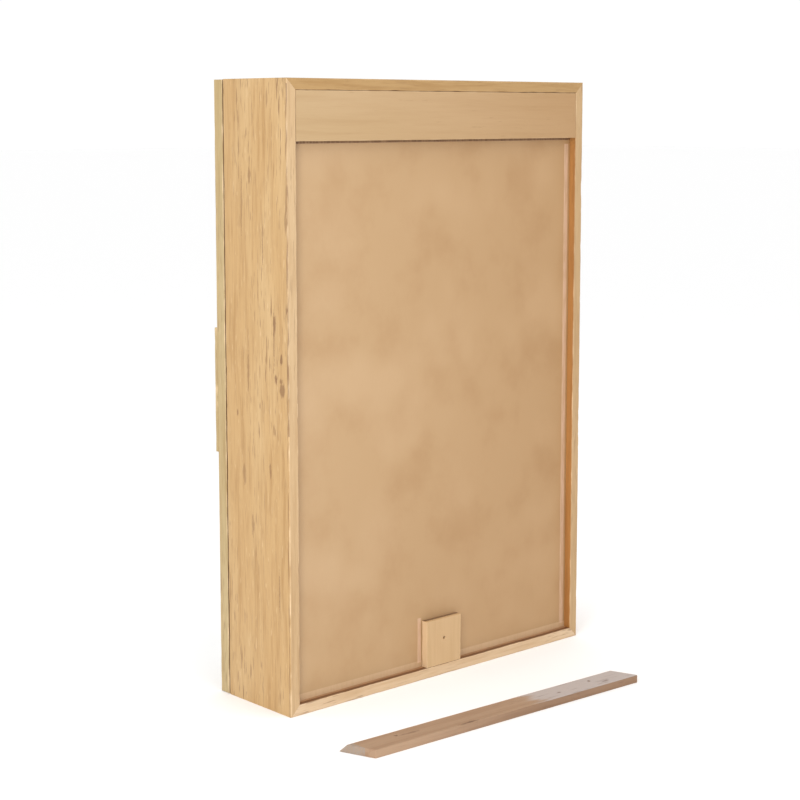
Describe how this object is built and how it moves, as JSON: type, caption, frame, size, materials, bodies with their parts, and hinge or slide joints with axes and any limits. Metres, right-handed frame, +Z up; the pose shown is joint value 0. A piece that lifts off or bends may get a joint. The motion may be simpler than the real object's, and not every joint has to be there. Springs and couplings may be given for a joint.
{
  "type": "wall cabinet",
  "caption": "Tall shallow wooden wall cabinet with a mirrored overlay door on butt hinges, adjustable shelves, and a French cleat whose wall half lies loose behind it.",
  "frame": {"origin": "middle of the bottom panel's underside, on the surface the cabinet stands on", "axes": "+Z up, the door at -Y, the side that meets the wall at +Y, the door's pull at +X and its hinges at -X"},
  "size_m": [0.544, 0.3366, 0.762],
  "materials": {
    "case_wood": "waxed, lightly distressed softwood",
    "door_wood": "waxed, lightly distressed softwood",
    "back_plywood": "smooth thin plywood",
    "rail_wood": "planed softwood",
    "cleat_wood": "raw sawn softwood",
    "hardboard": "brown hardboard",
    "silvered_glass": "silvered behind",
    "plated_steel": "satin plated",
    "moulded_plastic": "moulded",
    "soft_rubber": "soft"
  },
  "bodies": {
    "cabinet": {"back_panel": "back_plywood", "bottom_panel": "case_wood", "catch_screw_1": "plated_steel", "catch_screw_2": "plated_steel", "hanging_rail": "rail_wood", "hinge_lower_case_leaf": "plated_steel", "hinge_lower_case_screw_1": "plated_steel", "hinge_lower_case_screw_2": "plated_steel", "hinge_lower_case_screw_3": "plated_steel", "hinge_lower_pin": "plated_steel", "hinge_upper_case_leaf": "plated_steel", "hinge_upper_case_screw_1": "plated_steel", "hinge_upper_case_screw_2": "plated_steel", "hinge_upper_case_screw_3": "plated_steel", "hinge_upper_pin": "plated_steel", "magnetic_catch": "moulded_plastic", "rail_screw_1": "plated_steel", "rail_screw_2": "plated_steel", "rail_screw_3": "plated_steel", "shelf_lower_pin_left_back": "plated_steel", "shelf_lower_pin_left_front": "plated_steel", "shelf_lower_pin_right_back": "plated_steel", "shelf_lower_pin_right_front": "plated_steel", "shelf_upper_pin_left_back": "plated_steel", "shelf_upper_pin_left_front": "plated_steel", "shelf_upper_pin_right_back": "plated_steel", "shelf_upper_pin_right_front": "plated_steel", "side_panel_left": "case_wood", "side_panel_right": "case_wood", "spacer_block": "rail_wood", "top_panel": "case_wood"},
    "door": {"door_bumper_lower": "soft_rubber", "door_bumper_upper": "soft_rubber", "door_pull": "door_wood", "door_rail_bottom": "door_wood", "door_rail_top": "door_wood", "door_stile_left": "door_wood", "door_stile_right": "door_wood", "hinge_lower_door_leaf": "plated_steel", "hinge_lower_door_screw_1": "plated_steel", "hinge_lower_door_screw_2": "plated_steel", "hinge_lower_door_screw_3": "plated_steel", "hinge_upper_door_leaf": "plated_steel", "hinge_upper_door_screw_1": "plated_steel", "hinge_upper_door_screw_2": "plated_steel", "hinge_upper_door_screw_3": "plated_steel", "mirror_backing": "hardboard", "mirror_bead_bottom": "door_wood", "mirror_bead_left": "door_wood", "mirror_bead_right": "door_wood", "mirror_bead_top": "door_wood", "mirror_glass": "silvered_glass", "strike_plate": "plated_steel", "strike_screw": "plated_steel"},
    "shelf_lower": {"shelf_lower": "case_wood"},
    "shelf_upper": {"shelf_upper": "case_wood"},
    "wall_cleat": {"wall_cleat": "cleat_wood"}
  },
  "joints": [
    {"name": "door_hinge", "type": "hinge", "parent": "cabinet", "child": "door", "pos_m": [-0.2569, -0.06175, 0.381], "axis": [0, 0, -1], "range_deg": [0, 180]},
    {"name": "shelf_lower_lift", "type": "slide", "parent": "cabinet", "child": "shelf_lower", "axis": [0, 0, 1], "range_m": [0, 0.05]},
    {"name": "shelf_upper_lift", "type": "slide", "parent": "cabinet", "child": "shelf_upper", "axis": [0, 0, 1], "range_m": [0, 0.05]},
    {"name": "cleat_lift", "type": "slide", "parent": "cabinet", "child": "wall_cleat", "axis": [0, 0, 1], "range_m": [0, 0.1]}
  ]
}
